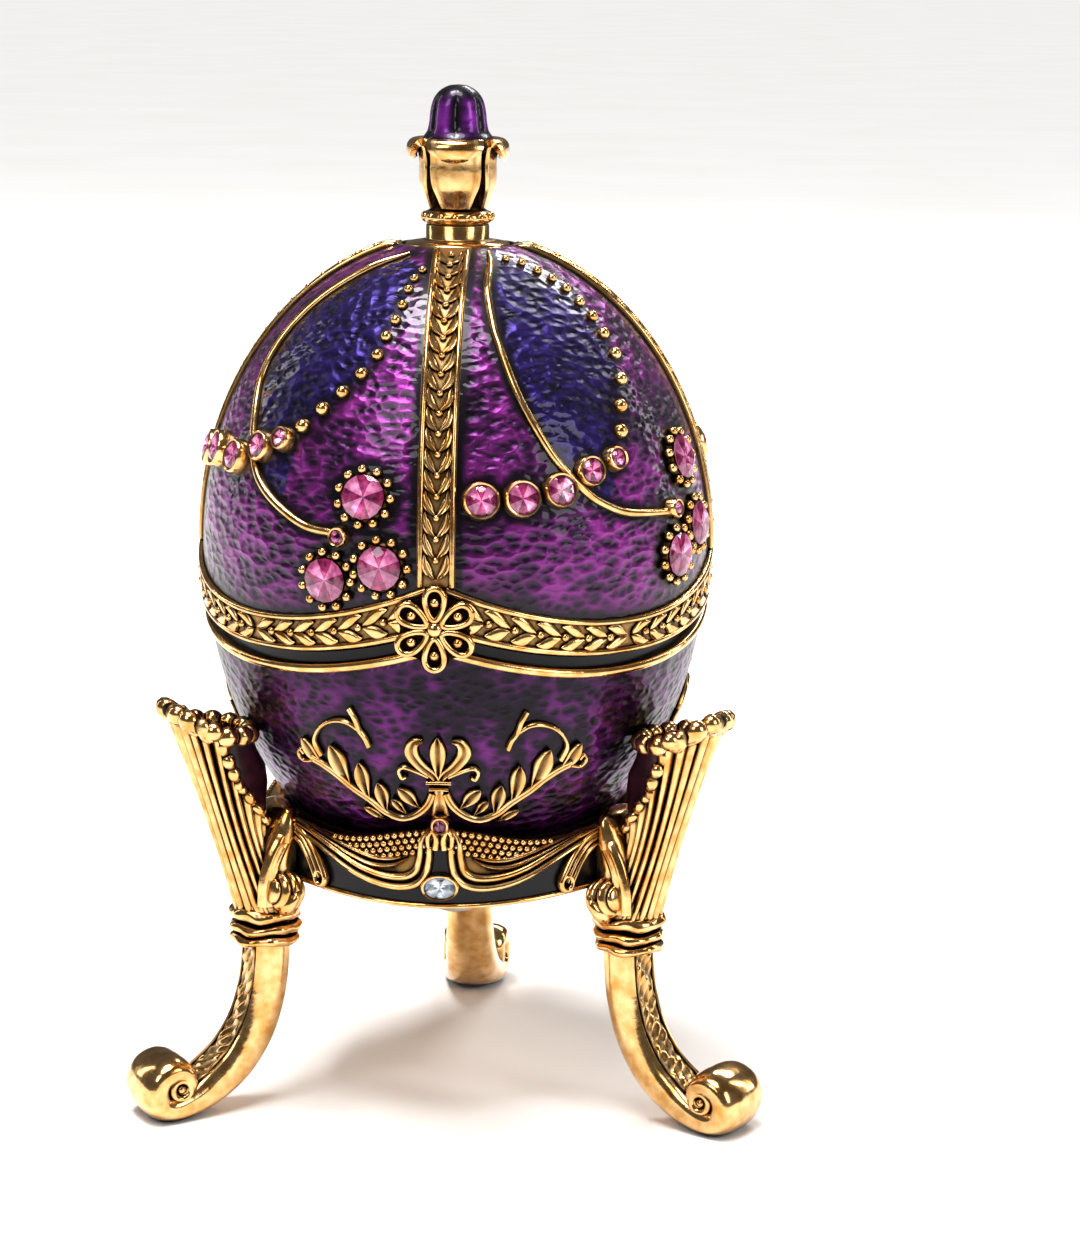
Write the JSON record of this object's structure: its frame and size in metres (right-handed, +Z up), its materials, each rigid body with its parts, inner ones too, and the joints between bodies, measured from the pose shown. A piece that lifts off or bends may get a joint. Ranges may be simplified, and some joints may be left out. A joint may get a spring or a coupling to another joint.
{
  "type": "jewelled egg trinket box",
  "caption": "Enamelled and gilt egg-shaped trinket box with a lift-off domed lid, on a low stand with cabriole legs and shells.",
  "frame": {"origin": "centre of the footprint, on the table the feet stand on", "axes": "+Z up through the finial, -Y towards the front with the gold flower, +X to the right as seen from the front"},
  "size_m": [0.0628, 0.062, 0.1003],
  "materials": {
    "gilt": "polished gilding on cast metal",
    "enamel": "glossy translucent purple enamel with gilt relief",
    "steel": "polished",
    "pink_stone": "cut crystal",
    "clear_stone": "cut crystal"
  },
  "bodies": {
    "root": {"lid": "gilt", "bowl": "enamel", "finial": "gilt", "stand": "gilt", "fixing_screw": "steel", "swag_stone_1_1": "pink_stone", "swag_stone_1_2": "pink_stone", "swag_stone_1_3": "pink_stone", "swag_stone_1_4": "pink_stone", "swag_stone_1_5": "pink_stone", "large_stone_1_1": "pink_stone", "large_stone_1_2": "pink_stone", "large_stone_1_3": "pink_stone", "drop_stone_1": "pink_stone", "swag_stone_2_1": "pink_stone", "swag_stone_2_2": "pink_stone", "swag_stone_2_3": "pink_stone", "swag_stone_2_4": "pink_stone", "swag_stone_2_5": "pink_stone", "large_stone_2_1": "pink_stone", "large_stone_2_2": "pink_stone", "large_stone_2_3": "pink_stone", "drop_stone_2": "pink_stone", "swag_stone_3_1": "pink_stone", "swag_stone_3_2": "pink_stone", "swag_stone_3_3": "pink_stone", "swag_stone_3_4": "pink_stone", "swag_stone_3_5": "pink_stone", "large_stone_3_1": "pink_stone", "large_stone_3_2": "pink_stone", "large_stone_3_3": "pink_stone", "drop_stone_3": "pink_stone", "swag_stone_4_1": "pink_stone", "swag_stone_4_2": "pink_stone", "swag_stone_4_3": "pink_stone", "swag_stone_4_4": "pink_stone", "swag_stone_4_5": "pink_stone", "large_stone_4_1": "pink_stone", "large_stone_4_2": "pink_stone", "large_stone_4_3": "pink_stone", "drop_stone_4": "pink_stone", "crest_stone_1": "pink_stone", "apron_stone_1": "clear_stone", "crest_stone_2": "pink_stone", "apron_stone_2": "clear_stone", "crest_stone_3": "pink_stone", "apron_stone_3": "clear_stone"}
  },
  "joints": []
}
